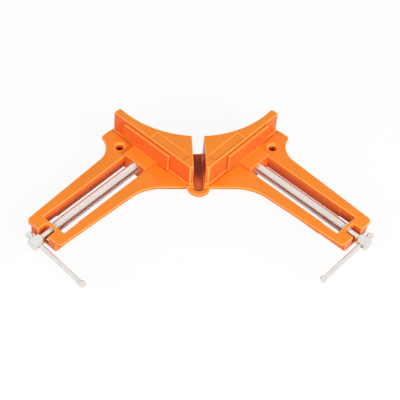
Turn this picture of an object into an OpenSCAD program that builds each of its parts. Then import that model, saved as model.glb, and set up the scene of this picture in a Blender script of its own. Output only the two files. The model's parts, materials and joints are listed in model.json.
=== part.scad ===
// Corner clamp for right-angled frames: one cast body with two arms, and on each
// arm a jaw that a hand screw draws along a window towards its fence.
// The origin lies midway between the two bench holes, on the plane the clamp stands on.
// Each side is drawn in its own arm frame: X runs out along the arm from the fence
// face, Y runs along the fence from the corner, and Z is up.

/* [Fences] */
// Length of each fence face
fence_len = 90; // [70:1:100]
// Distance of a fence's inner end from the corner, along its face
fence_start = 11.3; // [9:0.1:14]
// Height of the fences above the arms
fence_h = 21; // [16:0.5:28]
// Radius of the curved back that both fences share
back_r = 84; // [78:1:100]
// Distance of the curved back behind the corner, on the middle line
back_y = 44.6; // [40:0.2:48]
// Width of the gap between the fences
gap_w = 10.4; // [8:0.2:12]
// Wall thickness of the hollow fences
fence_wall = 4; // [3:0.2:5]
// Depth of the bare panel sunk in each fence top
panel_depth = 0.6; // [0.4:0.1:1]

/* [Arms] */
// Distance of an arm's end from its fence face
arm_len = 125; // [115:1:150]
// Width of each arm at the fence face
arm_root_w = 52; // [48:0.2:56]
// Width of each arm at its end
arm_end_w = 39.8; // [38:0.2:46]
// Distance of an arm's middle line from the corner
arm_mid = 60.3; // [57:0.1:64]
// Height of the arms' upper face above the bench
arm_top = 16.5; // [15.5:0.1:22]
// Thickness of the casting's top plate
plate_t = 2.6; // [2.4:0.1:3.4]
// Radius of the arm ends' upper corners
arm_corner_r = 4.5; // [2:0.5:6]
// Radius of the fillet between base and arm
crotch_r = 40; // [25:1:50]
// Height of the arm's end face
end_face_h = 12.5; // [9:0.5:14]

/* [Window] */
// Width of the window in each arm
window_w = 23.8; // [20:0.2:26]
// Thickness of the webs along the window
web_t = 3; // [2:0.2:4]
// Depth of the webs, from the arms' upper face
web_depth = 13.4; // [12:0.2:14.4]
// Length of the shallower, wider bay at the window's outer end
bay_len = 15.5; // [8:0.5:20]
// Thickness of the wall that carries the screw
bearing_wall = 3; // [2.5:0.1:4]
// Length of the open notch outside that wall
notch_len = 9.5; // [7:0.5:12]
// Width of the notch
notch_w = 11.5; // [11:0.5:14]
// Radius of the notch's inner corners
notch_r = 2.5; // [1:0.5:4]

/* [Base] */
// Distance of the base's front edge from the corner
front_y = 4.2; // [2:0.2:6]
// Radius of the round boss at the corner
boss_r = 9.8; // [9:0.2:12]
// Radius of the hollow curve behind each arm
ear_r = 22; // [16:1:26]
// Radius of the tips of the ears and of the fences
tip_r = 3; // [2:0.5:4]
// Diameter of the bench holes
bench_hole_d = 6.6; // [5:0.1:8]
// Distance of a bench hole from the fence face
bench_hole_out = 11.5; // [11:0.5:13]
// Distance of a bench hole from the corner, along the fence
bench_hole_along = 83; // [82:0.5:88]

/* [Jaws] */
// Length of a jaw plate
jaw_len = 52; // [40:1:60]
// Height of a jaw plate above the arms
jaw_h = 18.5; // [14:0.5:20]
// Thickness of a jaw plate at its top and ends
jaw_t = 2.5; // [2.2:0.1:3.5]
// Extra thickness of a jaw plate where it meets its block
jaw_draft = 1.2; // [0.4:0.1:2]
// Reach of a jaw's block, from the fence face
jaw_reach = 16.6; // [14:0.2:20]
// Overlap of the block's flange on each window edge
flange_lap = 1.3; // [1:0.1:2.5]
// Thickness of that flange
flange_t = 2.2; // [1.8:0.1:3]
// Radius of the fillet between a jaw's block and its plate
jaw_fillet_r = 1.6; // [0.8:0.1:2.4]
// Thickness of the keeper plate under a jaw
keeper_t = 1.6; // [1.2:0.1:1.7]

/* [Screws] */
// Outside diameter of a screw's thread
screw_d = 9.8; // [8:0.1:10]
// Depth of a screw's axis below the arms' upper face
screw_drop = 5.5; // [5.3:0.1:6.5]
// Diameter of a screw's neck
neck_d = 6.5; // [6:0.1:7]
// Diameter of the pilot at a screw's inner end
pilot_d = 6; // [5:0.1:7]
// Diameter of a screw's head
head_d = 10.6; // [10:0.1:11.4]
// Length of a screw's head
head_len = 10.8; // [9:0.2:14]
// Diameter of a tommy bar
bar_d = 4; // [3.5:0.1:4.4]
// Length of a tommy bar between its knobs' middles
bar_len = 62; // [50:1:70]
// Diameter of a bar knob
knob_d = 6.2; // [5.8:0.1:6.8]
// Tilt of the right tommy bar, which is turned clear of the bench
right_bar_tilt = 1.5; // [0:0.5:8]

/* [Fits] */
// Clearance between sliding faces
slide_gap = 0.3; // [0.2:0.05:0.5]
// Radial clearance of a turning or sliding round fit
run_gap = 0.05; // [0.03:0.01:0.08]

/* [Hidden] */
$fn = 96;
eps = 0.05;
blend = 0.1;
far = 300;
root2 = sqrt(2);

// Places along and across an arm
arm_slope = (arm_root_w - arm_end_w) / 2 / arm_len;
arm_taper = atan(arm_slope);
window_lo = arm_mid - window_w / 2;
window_hi = arm_mid + window_w / 2;
notch_start = arm_len - notch_len;
window_end = notch_start - bearing_wall;
window_start = 1.5;
bay_start = window_end - bay_len;
bay_step = 0.4;
fence_end = fence_start + fence_len;

// Heights
boss_step = 0.2;
fence_top = arm_top + fence_h;
plate_low = arm_top - plate_t;
web_low = arm_top - web_depth;
end_low = arm_top - end_face_h;
screw_z = arm_top - screw_drop;
gap_floor = plate_low + 0.5;
slab_t = plate_t - 0.6;
boss_top = arm_top - boss_step;

// Base and its ribs
strip_y = fence_start / root2;
crotch_s = (arm_mid - arm_root_w / 2 - root2 * front_y) / (1 - arm_slope);
crotch_t = crotch_s + root2 * front_y;
crotch_tangent = crotch_r * tan((45 - arm_taper) / 2);
boss_y = front_y + 1.1;
slot_y = front_y + 0.8;
slot_w = gap_w - 1;
rib_t = 2.6;
rib_inset = 9;
end_wall_t = 3;
end_wall_inset = 0.4;
sill_top = end_low + 2.2;
foot_inset = 1;
nose_y = 16.5;
nose_low = 10.4;
pillar_r = bench_hole_d / 2 + 2.6;
hole_chamfer = 1.2;
relief_w = 3.1;
relief_depth = 0.9;
panel_lo = fence_start + 9.5;
panel_hi = panel_lo + fence_len * 0.42;
panel_back = 10;
panel_front = 1.6;
ear_end = fence_end + 1.4;
ear_reach = ear_r + bench_hole_out + 2.6;
ear_middle = [ear_reach, arm_mid + arm_half(ear_reach) + ear_r - blend];
back_middle = [-(back_y + back_r) / root2, (back_y + back_r) / root2];
hole_y = (bench_hole_along - bench_hole_out) / root2;

// Jaw, its flange and its keeper
jaw_lo = arm_mid - jaw_len / 2;
jaw_hi = arm_mid + jaw_len / 2;
flange_w = window_w + 2 * flange_lap;
tongue_w = window_w - 2 * slide_gap;
jaw_low = arm_top + slide_gap;
jaw_top = arm_top + jaw_h;
jaw_face = slide_gap;
block_back = jaw_face + jaw_t;
keeper_top = web_low - slide_gap;
keeper_low = keeper_top - keeper_t;
keeper_lap = web_t - 0.6;
keeper_w = window_w + 2 * keeper_lap;
keeper_inset = 1;
thread_mouth = 1;
keeper_screw_d = 3;
keeper_screw_len = 5;
keeper_head_d = 4.6;
keeper_head_h = 0.9;
keeper_screw_off = window_w / 2 - 3;

// Screw stations along the arm
washer_t = 1;
washer_d = screw_d;
shoulder_s = window_end - washer_t - 0.2;
thread_start = window_start + 0.6;
pilot_len = 9;
ring_t = 1.2;
ring_s = notch_start + 0.2;
ring_groove_d = neck_d - 1.4;
ring_d = neck_d + 2.2;
head_s = arm_len + 1.8;
head_end_t = 1.4;
head_cone_len = 1.4;
head_cone_d = head_d - 2;
bar_s = head_s + head_len / 2;
pin_d = 2;
pin_s = head_s + 1.7;

// Tommy bars, slid until the upper knob meets the head; the left one also leans on the bench
bar_rise = head_d / 2 + knob_d / 2 + 0.3;
bar_fall = bar_len - bar_rise;
left_bar_tilt = asin((screw_z - knob_d / 2 - 0.3) / bar_fall);

cast_orange = "#f0832d";
bright_steel = "#d6d8d2";

// Half the width of an arm at a distance from the fence face
function arm_half(s) = arm_root_w / 2 - arm_slope * s;

// Tilt of a side's tommy bar
function bar_tilt(side) = side == "left" ? left_bar_tilt : right_bar_tilt;

// Puts a piece drawn in the arm frame on one side of the clamp
module on_side(side) {
    translate([0, -hole_y, 0])
        mirror([side == "left" ? 1 : 0, 0, 0])
            rotate([0, 0, -45])
                children();
}

// Turns a plan drawn about the middle line into the arm frame
module from_middle() {
    rotate([0, 0, 45]) children();
}

// A round piece along the arm, on the screw's axis
module along_screw(s, length, d) {
    translate([s, arm_mid, screw_z])
        rotate([0, 90, 0])
            cylinder(h = length, d = d);
}

// A round piece along the tommy bar, measured from the screw's axis towards the lower knob
module along_bar(side, from, length, d) {
    translate([bar_s, arm_mid, screw_z])
        rotate([90 + bar_tilt(side), 0, 0])
            translate([0, 0, from])
                cylinder(h = length, d = d);
}

// What is cut to round the tip between a straight end and a hollow curve; toward is
// 1 where the tip lies beyond the curve's middle along the arm, and -1 where it lies before it
module tip_cut(middle, r, end, toward) {
    reach = r + tip_r - blend;
    rise = middle.y - end + tip_r - blend;
    run = sqrt(reach ^ 2 - rise ^ 2);
    tip = [middle.x + toward * run, end - tip_r + blend];
    to_middle = (middle - tip) / reach;
    margin = tip_r + 1;
    difference() {
        polygon([tip,
                 [tip.x, end + 1],
                 [tip.x - toward * margin, end + 1],
                 tip + to_middle * margin]);
        translate(tip)
            circle(r = tip_r);
    }
}

// Plan of a tapered arm with round outer corners, drawn in by an inset
module arm_plan(r, inset = 0) {
    reach = arm_len - inset;
    root = arm_root_w / 2 - inset / cos(arm_taper);
    corner = [reach - r, arm_half(reach - r) - (r + inset) / cos(arm_taper)];
    tangent = corner + r * [sin(arm_taper), cos(arm_taper)];
    translate([0, arm_mid]) {
        polygon([[0, -root],
                 [tangent.x, -tangent.y],
                 [reach, -corner.y],
                 [reach, corner.y],
                 [tangent.x, tangent.y],
                 [0, root]]);
        for (way = [-1, 1])
            translate([corner.x, way * corner.y])
                circle(r = r);
    }
}

// Plan of the base between the corner and the arm, with the crotch fillet
module base_plan() {
    front_in = front_y / root2;
    strip_in = strip_y / root2;
    crotch = [crotch_s, crotch_t];
    along_front = [1, 1] / root2;
    along_arm = [cos(arm_taper), sin(arm_taper)];
    off_arm = [along_arm.y, -along_arm.x];
    front_tangent = crotch - crotch_tangent * along_front;
    arm_tangent = crotch + crotch_tangent * along_arm;
    polygon([[-front_in, front_in],
             crotch,
             [crotch_s, arm_mid],
             [-eps, arm_mid],
             [-eps, fence_start],
             [-strip_in, strip_in]]);
    difference() {
        polygon([front_tangent,
                 front_tangent + [0, 1],
                 crotch + [0, 1],
                 arm_tangent + [0, 1],
                 arm_tangent]);
        translate(arm_tangent + (crotch_r - blend) * off_arm)
            circle(r = crotch_r);
    }
}

// Plan of the ear that holds the bench hole
module ear_plan() {
    difference() {
        translate([-eps, arm_mid])
            square([ear_reach + eps, ear_end - arm_mid]);
        translate(ear_middle)
            circle(r = ear_r);
        tip_cut(ear_middle, ear_r, ear_end, -1);
    }
}

// Plan of a fence between its face and the curved back, drawn in by an inset
module fence_plan(inset = 0) {
    difference() {
        intersection() {
            translate([-far, 0])
                square([far - inset, fence_end - inset]);
            from_middle()
                translate([gap_w / 2 + inset, strip_y + inset])
                    square([far, far]);
        }
        translate(back_middle)
            circle(r = back_r + inset);
    }
}

// One arm, fence and ear of the casting, before its holes are cut
module body_side() {
    translate([0, 0, plate_low])
        linear_extrude(plate_t) {
            arm_plan(arm_corner_r);
            base_plan();
            ear_plan();
        }
    difference() {
        linear_extrude(fence_top)
            difference() {
                fence_plan();
                tip_cut(back_middle, back_r, fence_end, 1);
            }
        translate([0, 0, -eps])
            linear_extrude(fence_top - fence_wall)
                fence_plan(fence_wall);
    }
    window_webs();
    arm_end();
    base_ribs();
    // Boss that carries the screw's pilot
    along_screw(-pilot_len - 2, pilot_len + 2, pilot_d + 7);
    // Pillar round the bench hole
    translate([bench_hole_out, bench_hole_along, 0])
        cylinder(h = arm_top - eps, r = pillar_r);
}

// Webs along both edges of the window, the wall that carries the screw and the foot below it
module window_webs() {
    for (y = [window_lo - web_t, window_hi])
        translate([-1, y, web_low])
            cube([bay_start + 1, web_t, web_depth - eps]);
    translate([window_end, window_lo - web_t, end_low])
        cube([bearing_wall, window_w + 2 * web_t, end_face_h]);
    translate([window_end, window_lo + foot_inset, 0])
        cube([bearing_wall, window_w - 2 * foot_inset, end_low + eps]);
}

// Webs that run on beside the bay and the notch, the wall at the arm's end and the notch's cheeks
module arm_end() {
    wall_face = arm_len - end_wall_inset;
    wall_h = end_face_h - eps;
    for (y = [window_lo - web_t, window_hi])
        translate([bay_start - blend, y, end_low])
            cube([wall_face - bay_start + blend, web_t, wall_h]);
    translate([wall_face - end_wall_t, window_lo - web_t, end_low])
        cube([end_wall_t, window_w + 2 * web_t, wall_h]);
    for (y = [arm_mid - notch_w / 2 - end_wall_t, arm_mid + notch_w / 2])
        translate([notch_start - eps, y, end_low])
            cube([notch_len - end_wall_t / 2, end_wall_t, wall_h]);
}

// Ribs under the base, as deep as the webs so that the keeper passes below them
module base_ribs() {
    rib_y = front_y + rib_inset;
    rib_to = root2 * (window_lo - web_t / 2) - rib_y;
    rib_h = plate_low - web_low + eps;
    from_middle()
        translate([rib_y - eps, rib_y, web_low])
            cube([rib_to - rib_y, rib_t, rib_h]);
    translate([bench_hole_out - rib_t / 2, window_hi + eps, web_low])
        cube([rib_t, bench_hole_along - window_hi, rib_h]);
    translate([-1, bench_hole_along - rib_t / 2, web_low])
        cube([bench_hole_out + 1, rib_t, rib_h]);
}

// Plan of the open notch, with round inner corners
module notch_plan() {
    r = notch_r;
    translate([r, -notch_w / 2])
        square([notch_len + 1, notch_w]);
    translate([0, r - notch_w / 2])
        square([r + eps, notch_w - 2 * r]);
    for (way = [-1, 1])
        translate([r, way * (notch_w / 2 - r)])
            circle(r = r);
}

// What is cut from one side of the casting
module body_side_cuts() {
    translate([window_start, window_lo, -eps])
        cube([window_end - window_start, window_w, arm_top + 1]);
    translate([bay_start, window_lo - bay_step, -eps])
        cube([bay_len, window_w + 2 * bay_step, arm_top + 1]);
    // Path of the keeper along the webs, so that nothing stands in its way
    translate([block_back, arm_mid - keeper_w / 2 - slide_gap, keeper_low - slide_gap])
        cube([bay_start - block_back, keeper_w + 2 * slide_gap, keeper_t + 1.5 * slide_gap]);
    // Notch, down to the sill that closes the end wall below the neck
    translate([notch_start, arm_mid, sill_top])
        linear_extrude(arm_top + 1)
            notch_plan();
    along_screw(notch_start - bearing_wall - 1, bearing_wall + 2, neck_d + 2 * run_gap);
    along_screw(-pilot_len, pilot_len + window_start + 1, pilot_d + 2 * run_gap);
    translate([bench_hole_out, bench_hole_along, -eps])
        cylinder(h = arm_top + 1, d = bench_hole_d);
    translate([bench_hole_out, bench_hole_along, arm_top - hole_chamfer])
        cylinder(h = hole_chamfer + eps, d1 = bench_hole_d, d2 = bench_hole_d + 2 * (hole_chamfer + eps));
    // Relief along the fence's foot, so that a square edge seats in the corner
    translate([0, fence_start, arm_top - relief_depth])
        cube([relief_w, fence_len + 5, relief_depth + 1]);
    // Bare panel in the fence's top
    translate([-panel_back, panel_lo, fence_top - panel_depth])
        cube([panel_back - panel_front, panel_hi - panel_lo, panel_depth + 1]);
}

// Floor of the gap between the fences, with the round boss at its front
module gap_floor_slab() {
    slab_w = gap_w + fence_wall;
    difference() {
        translate([-slab_w / 2, strip_y, gap_floor - slab_t])
            cube([slab_w, back_y, slab_t]);
        translate([0, back_y + back_r, -eps])
            cylinder(h = arm_top, r = back_r);
    }
    translate([0, boss_y, boss_top - plate_t])
        cylinder(h = plate_t, r = boss_r);
}

// Channel that runs through the gap and ends round in the boss
module gap_channel() {
    translate([0, slot_y, gap_floor]) {
        cylinder(h = far, d = slot_w);
        translate([-slot_w / 2, 0, 0])
            cube([slot_w, strip_y - slot_y + 1, far]);
    }
    translate([-gap_w / 2, strip_y, gap_floor])
        cube([gap_w, back_y, far]);
}

// What is cut from the fences' inner ends below the base, so that the corner overhangs the bench
module nose_cut() {
    translate([-nose_y - 2, 0, -eps])
        cube([2 * nose_y + 4, nose_y, nose_low + eps]);
}

// Cast body with both arms and fences
module body_casting() {
    color(cast_orange)
        difference() {
            union() {
                for (side = ["left", "right"])
                    on_side(side) body_side();
                translate([0, -hole_y, 0]) gap_floor_slab();
            }
            for (side = ["left", "right"])
                on_side(side) body_side_cuts();
            translate([0, -hole_y, 0]) {
                gap_channel();
                nose_cut();
            }
        }
}

// Clamping plate of a jaw: it thins towards its top and towards both ends
module jaw_plate() {
    foot = block_back + jaw_draft;
    slope = jaw_draft / (jaw_top - jaw_low);
    flange_top = jaw_low + flange_t;
    fillet_top = flange_top + jaw_fillet_r;
    fillet_s = foot - slope * (fillet_top - jaw_low) + jaw_fillet_r;
    intersection() {
        translate([0, 0, jaw_low])
            linear_extrude(jaw_top - jaw_low)
                polygon([[jaw_face, jaw_lo],
                         [block_back, jaw_lo],
                         [foot, arm_mid - flange_w / 2],
                         [foot, arm_mid + flange_w / 2],
                         [block_back, jaw_hi],
                         [jaw_face, jaw_hi]]);
        translate([0, jaw_hi + 1, 0])
            rotate([90, 0, 0])
                linear_extrude(jaw_len + 2)
                    polygon([[jaw_face - 1, jaw_low - 1],
                             [jaw_face - 1, jaw_top + 1],
                             [block_back - slope, jaw_top + 1],
                             [foot + slope, jaw_low - 1]]);
    }
    // Fillet in the corner between plate and block
    translate([0, arm_mid + flange_w / 2, 0])
        rotate([90, 0, 0])
            linear_extrude(flange_w)
                difference() {
                    translate([block_back - 1, flange_top - 1])
                        square([fillet_s - block_back + 1 - blend, jaw_fillet_r + 1 - blend]);
                    translate([fillet_s - blend, fillet_top - blend])
                        circle(r = jaw_fillet_r);
                }
}

// Cast jaw: a clamping plate, a block on the window's edges and a tongue in the window
module jaw(side) {
    block_len = jaw_reach - block_back;
    color(cast_orange)
        on_side(side)
            difference() {
                union() {
                    jaw_plate();
                    translate([block_back - 1, arm_mid - flange_w / 2, jaw_low])
                        cube([block_len + 1, flange_w, flange_t]);
                    translate([block_back, arm_mid - tongue_w / 2, keeper_top])
                        cube([block_len, tongue_w, jaw_low - keeper_top + eps]);
                }
                along_screw(0, jaw_reach + 1, screw_d + 2 * run_gap);
                translate([jaw_reach - thread_mouth, arm_mid, screw_z])
                    rotate([0, 90, 0])
                        cylinder(h = thread_mouth + eps, d1 = screw_d, d2 = screw_d + 2 * (thread_mouth + eps));
                for (y = [-keeper_screw_off, keeper_screw_off])
                    translate([(block_back + jaw_reach) / 2, arm_mid + y, keeper_top - eps])
                        cylinder(h = keeper_screw_len - keeper_t, d = keeper_screw_d);
            }
}

// Steel plate under the jaw that holds it down on the webs
module jaw_keeper(side) {
    color(bright_steel)
        on_side(side)
            difference() {
                translate([block_back + keeper_inset, arm_mid - keeper_w / 2, keeper_low])
                    cube([jaw_reach - block_back - 2 * keeper_inset, keeper_w, keeper_t]);
                for (y = [-keeper_screw_off, keeper_screw_off])
                    translate([(block_back + jaw_reach) / 2, arm_mid + y, keeper_low]) {
                        translate([0, 0, -eps])
                            cylinder(h = keeper_t + 1, d = keeper_screw_d);
                        translate([0, 0, -eps])
                            cylinder(h = keeper_head_h + eps, d = keeper_head_d + 2 * run_gap);
                    }
            }
}

// Pair of screws that hold the keeper
module keeper_screws(side) {
    color(bright_steel)
        on_side(side)
            for (y = [-keeper_screw_off, keeper_screw_off])
                translate([(block_back + jaw_reach) / 2, arm_mid + y, keeper_low]) {
                    cylinder(h = keeper_head_h, d = keeper_head_d);
                    cylinder(h = keeper_screw_len - 0.2, d = keeper_screw_d - 0.02);
                }
}

// Screw with its pilot, thread, neck, ring groove and the holes for bar and pin
module lead_screw(side) {
    neck_end = head_s + head_len - head_end_t;
    color(bright_steel)
        on_side(side)
            difference() {
                union() {
                    along_screw(-pilot_len + 0.5, pilot_len + thread_start, pilot_d);
                    along_screw(thread_start, shoulder_s - thread_start, screw_d);
                    along_screw(shoulder_s - eps, neck_end - shoulder_s + eps, neck_d);
                }
                difference() {
                    along_screw(ring_s, ring_t + 0.1, screw_d);
                    along_screw(ring_s - 1, ring_t + 2, ring_groove_d);
                }
                along_bar(side, -head_d, 2 * head_d, bar_d + 2 * run_gap);
                pin_hole(side);
            }
}

// Hole for the pin that fixes the head, square to the tommy bar
module pin_hole(side) {
    translate([pin_s, arm_mid, screw_z])
        rotate([bar_tilt(side), 0, 0])
            cylinder(h = 2 * head_d, d = pin_d, center = true);
}

// Washer that takes the screw's thrust on the inside of the bearing wall
module thrust_washer(side) {
    color(bright_steel)
        on_side(side)
            difference() {
                along_screw(shoulder_s + 0.1, washer_t, washer_d);
                along_screw(shoulder_s - 1, washer_t + 2, neck_d + 2 * run_gap);
            }
}

// Open ring that snaps into the neck's groove outside the bearing wall
module retaining_ring(side) {
    mouth = ring_groove_d * 0.8;
    color(bright_steel)
        on_side(side)
            difference() {
                along_screw(ring_s + 0.05, ring_t, ring_d);
                along_screw(ring_s - 1, ring_t + 2, ring_groove_d + 0.02);
                translate([ring_s - 1, arm_mid - mouth / 2, screw_z - ring_d])
                    cube([ring_t + 2, mouth, ring_d]);
            }
}

// Head that slips over the neck and carries the tommy bar
module screw_head(side) {
    color(bright_steel)
        on_side(side)
            difference() {
                union() {
                    along_screw(head_s + head_cone_len, head_len - head_cone_len, head_d);
                    translate([head_s, arm_mid, screw_z])
                        rotate([0, 90, 0])
                            cylinder(h = head_cone_len, d1 = head_cone_d, d2 = head_d);
                }
                along_screw(head_s - eps, head_len - head_end_t + eps, neck_d + 0.02);
                along_bar(side, -head_d, 2 * head_d, bar_d + 2 * run_gap);
                pin_hole(side);
            }
}

// Pin through head and neck
module head_pin(side) {
    color(bright_steel)
        on_side(side)
            translate([pin_s, arm_mid, screw_z])
                rotate([bar_tilt(side), 0, 0])
                    cylinder(h = head_d - 0.6, d = pin_d - 0.02, center = true);
}

// Tommy bar that slides through the head
module tommy_bar(side) {
    color(bright_steel)
        on_side(side)
            along_bar(side, -bar_rise, bar_len, bar_d);
}

// Round knob pressed on a bar's end; end is -1 for the upper and 1 for the lower one
module bar_knob(side, end) {
    middle = end < 0 ? -bar_rise : bar_fall;
    socket = end < 0 ? middle : middle - knob_d;
    color(bright_steel)
        on_side(side)
            difference() {
                translate([bar_s, arm_mid, screw_z])
                    rotate([90 + bar_tilt(side), 0, 0])
                        translate([0, 0, middle])
                            sphere(d = knob_d);
                along_bar(side, socket, knob_d, bar_d + 0.02);
            }
}

body_casting();
jaw("left");  // left_jaw
jaw("right");  // right_jaw
jaw_keeper("left");  // left_jaw_keeper
jaw_keeper("right");  // right_jaw_keeper
keeper_screws("left");  // left_keeper_screws
keeper_screws("right");  // right_keeper_screws
lead_screw("left");  // left_lead_screw
lead_screw("right");  // right_lead_screw
thrust_washer("left");  // left_thrust_washer
thrust_washer("right");  // right_thrust_washer
retaining_ring("left");  // left_retaining_ring
retaining_ring("right");  // right_retaining_ring
screw_head("left");  // left_screw_head
screw_head("right");  // right_screw_head
head_pin("left");  // left_head_pin
head_pin("right");  // right_head_pin
tommy_bar("left");  // left_tommy_bar
tommy_bar("right");  // right_tommy_bar
bar_knob("left", -1);  // left_upper_knob
bar_knob("right", -1);  // right_upper_knob
bar_knob("left", 1);  // left_lower_knob
bar_knob("right", 1);  // right_lower_knob
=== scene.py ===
# %% [markdown]
# # A cast corner clamp
# The clamp is one orange casting with two fences and two arms. A jaw slides in a window
# of each arm, and a bright steel screw with a tommy bar draws it up to its fence.
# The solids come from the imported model, in metres and in place, so every finish and every
# modelled piece below is fitted to them and never moves them.

# %% Load the solids
import json
import math

import bmesh
import bpy
from mathutils import Matrix, Vector
from mathutils.bvhtree import BVHTree
from mathutils.kdtree import KDTree


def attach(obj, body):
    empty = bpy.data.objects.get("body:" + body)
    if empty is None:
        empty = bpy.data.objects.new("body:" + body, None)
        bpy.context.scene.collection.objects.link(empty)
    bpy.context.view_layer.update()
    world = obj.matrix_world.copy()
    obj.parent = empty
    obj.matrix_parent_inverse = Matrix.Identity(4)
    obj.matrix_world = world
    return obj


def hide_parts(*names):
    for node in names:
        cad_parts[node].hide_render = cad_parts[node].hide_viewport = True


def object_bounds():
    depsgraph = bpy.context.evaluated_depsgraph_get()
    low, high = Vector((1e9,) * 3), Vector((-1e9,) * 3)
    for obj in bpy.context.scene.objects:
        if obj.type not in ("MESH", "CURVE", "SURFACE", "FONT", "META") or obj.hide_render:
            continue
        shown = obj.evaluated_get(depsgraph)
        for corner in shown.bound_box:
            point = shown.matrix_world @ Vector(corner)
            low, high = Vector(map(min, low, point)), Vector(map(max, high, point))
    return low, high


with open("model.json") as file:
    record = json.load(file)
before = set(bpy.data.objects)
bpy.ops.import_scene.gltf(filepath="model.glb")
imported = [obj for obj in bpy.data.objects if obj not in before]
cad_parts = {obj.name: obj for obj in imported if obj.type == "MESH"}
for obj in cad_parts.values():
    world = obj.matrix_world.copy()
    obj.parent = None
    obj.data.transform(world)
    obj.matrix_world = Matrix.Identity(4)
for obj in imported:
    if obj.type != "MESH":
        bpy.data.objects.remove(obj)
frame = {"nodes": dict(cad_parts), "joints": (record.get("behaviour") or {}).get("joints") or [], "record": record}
cad_low, cad_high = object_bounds()
SIDES = ("left", "right")
UP = Vector((0.0, 0.0, 1.0))
MM = 0.001
joints = {joint["name"]: joint for joint in frame["joints"]}

# %% [markdown]
# ## The line of each screw
# Threads, knobs and heads are all turned about the screw's line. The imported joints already
# hold it: the jaw's slide gives the direction out along the arm, and the screw's hinge gives
# a point on the line. The coupling between the two gives the thread's lead.

# %% Read the screw lines and the lead


def screw_line(side):
    """A point on the screw's line and the direction out along the arm."""
    point = Vector(joints[f"{side}_screw_turn"]["pos_m"])
    outward = Vector(joints[f"{side}_jaw_slide"]["axis"]).normalized()
    return point, outward


def bar_line(side):
    """The direction along the tommy bar, towards its upper knob."""
    return Vector(joints[f"{side}_bar_slide"]["axis"]).normalized()


coupling = frame["record"]["behaviour"]["couplings"][0]
lead = 2.0 * math.pi / abs(coupling["ratio"])
print("thread lead in mm:", round(lead / MM, 3))

# %% [markdown]
# ## The camera
# The picture looks down on the clamp at about fifty degrees, a little from the left, through
# a fairly long lens. The camera is set from those angles, a point it looks at and the focal
# length in widths of the square picture, so nothing depends on the render's own size.

# %% Place the camera
VIEW_YAW = math.radians(-6.81)
VIEW_HEIGHT = math.radians(49.73)
VIEW_ROLL = math.radians(5.33)
VIEW_DISTANCE = 1.2
VIEW_TARGET = Vector((0.00033, -0.06052, 0.0165))
FOCAL_IN_PICTURE_WIDTHS = 1419.6 / 400.0


def add_camera():
    """A camera that looks at the target from the picture's angles."""
    level = math.cos(VIEW_HEIGHT)
    toward = Vector((math.sin(VIEW_YAW) * level, -math.cos(VIEW_YAW) * level, math.sin(VIEW_HEIGHT)))
    right = UP.cross(toward).normalized()
    over = toward.cross(right)
    turned_right = right * math.cos(VIEW_ROLL) + over * math.sin(VIEW_ROLL)
    turned_over = over * math.cos(VIEW_ROLL) - right * math.sin(VIEW_ROLL)
    place = Matrix((turned_right, turned_over, toward)).transposed().to_4x4()
    place.translation = VIEW_TARGET + toward * VIEW_DISTANCE
    lens = bpy.data.cameras.new("picture_camera")
    lens.sensor_fit = "HORIZONTAL"
    lens.angle = 2.0 * math.atan(0.5 / FOCAL_IN_PICTURE_WIDTHS)
    lens.clip_start = 0.01
    camera = bpy.data.objects.new("picture_camera", lens)
    camera.matrix_world = place
    bpy.context.scene.collection.objects.link(camera)
    bpy.context.scene.camera = camera
    return camera


camera = add_camera()
print("camera at:", [round(value, 3) for value in camera.matrix_world.translation])

# %% [markdown]
# ## Orange powder coat
# The casting is sprayed and baked: a smooth, wet-looking coat with a faint orange-peel skin.
# The walls get a darker, redder colour than the open tops, which is painted shade, so the
# colour follows how far a face points upward. A soft, wide noise keeps it from looking
# like one flat tint, and a fine noise gives the skin as bump. The coat is a resin, whose low
# index of refraction keeps its gloss from washing out the orange. One function makes three
# coats: the main one, a paler one for the edges, partly thin coat and partly painted
# highlight, and a darker one for the gap at the corner, which is painted shade.

# %% Make the powder coat


def add_node(tree, kind, **settings):
    """A new node with the given properties set on it."""
    node = tree.nodes.new(kind)
    for name, value in settings.items():
        setattr(node, name, value)
    return node


def new_material(name):
    """An empty node material with its shader, and the object's own coordinates."""
    material = bpy.data.materials.new(name)
    material.use_nodes = True
    tree = material.node_tree
    shader = tree.nodes["Principled BSDF"]
    place = add_node(tree, "ShaderNodeTexCoord").outputs["Object"]
    return material, tree, shader, place


def noise(tree, place, scale, detail=2.0):
    """A noise texture of the given scale per metre."""
    node = add_node(tree, "ShaderNodeTexNoise")
    node.inputs["Scale"].default_value = scale
    node.inputs["Detail"].default_value = detail
    tree.links.new(place, node.inputs["Vector"])
    return node.outputs["Fac"]


def mix_colour(tree, factor, first, second):
    """A colour between two colours, or between a colour and a socket."""
    node = add_node(tree, "ShaderNodeMix", data_type="RGBA")
    tree.links.new(factor, node.inputs["Factor"])
    for socket, value in ((node.inputs[6], first), (node.inputs[7], second)):
        if isinstance(value, tuple):
            socket.default_value = (*value, 1.0)
        else:
            tree.links.new(value, socket)
    return node.outputs[2]


def remap(tree, value, low, high, to_low=0.0, to_high=1.0):
    """A value moved from one range to another and held inside it."""
    node = add_node(tree, "ShaderNodeMapRange")
    tree.links.new(value, node.inputs["Value"])
    for name, number in (("From Min", low), ("From Max", high), ("To Min", to_low), ("To Max", to_high)):
        node.inputs[name].default_value = number
    return node.outputs["Result"]


def bump(tree, shader, height, distance, strength=1.0):
    """Fine relief on a shader's surface."""
    node = add_node(tree, "ShaderNodeBump")
    node.inputs["Strength"].default_value = strength
    node.inputs["Distance"].default_value = distance
    tree.links.new(height, node.inputs["Height"])
    tree.links.new(node.outputs["Normal"], shader.inputs["Normal"])


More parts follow.
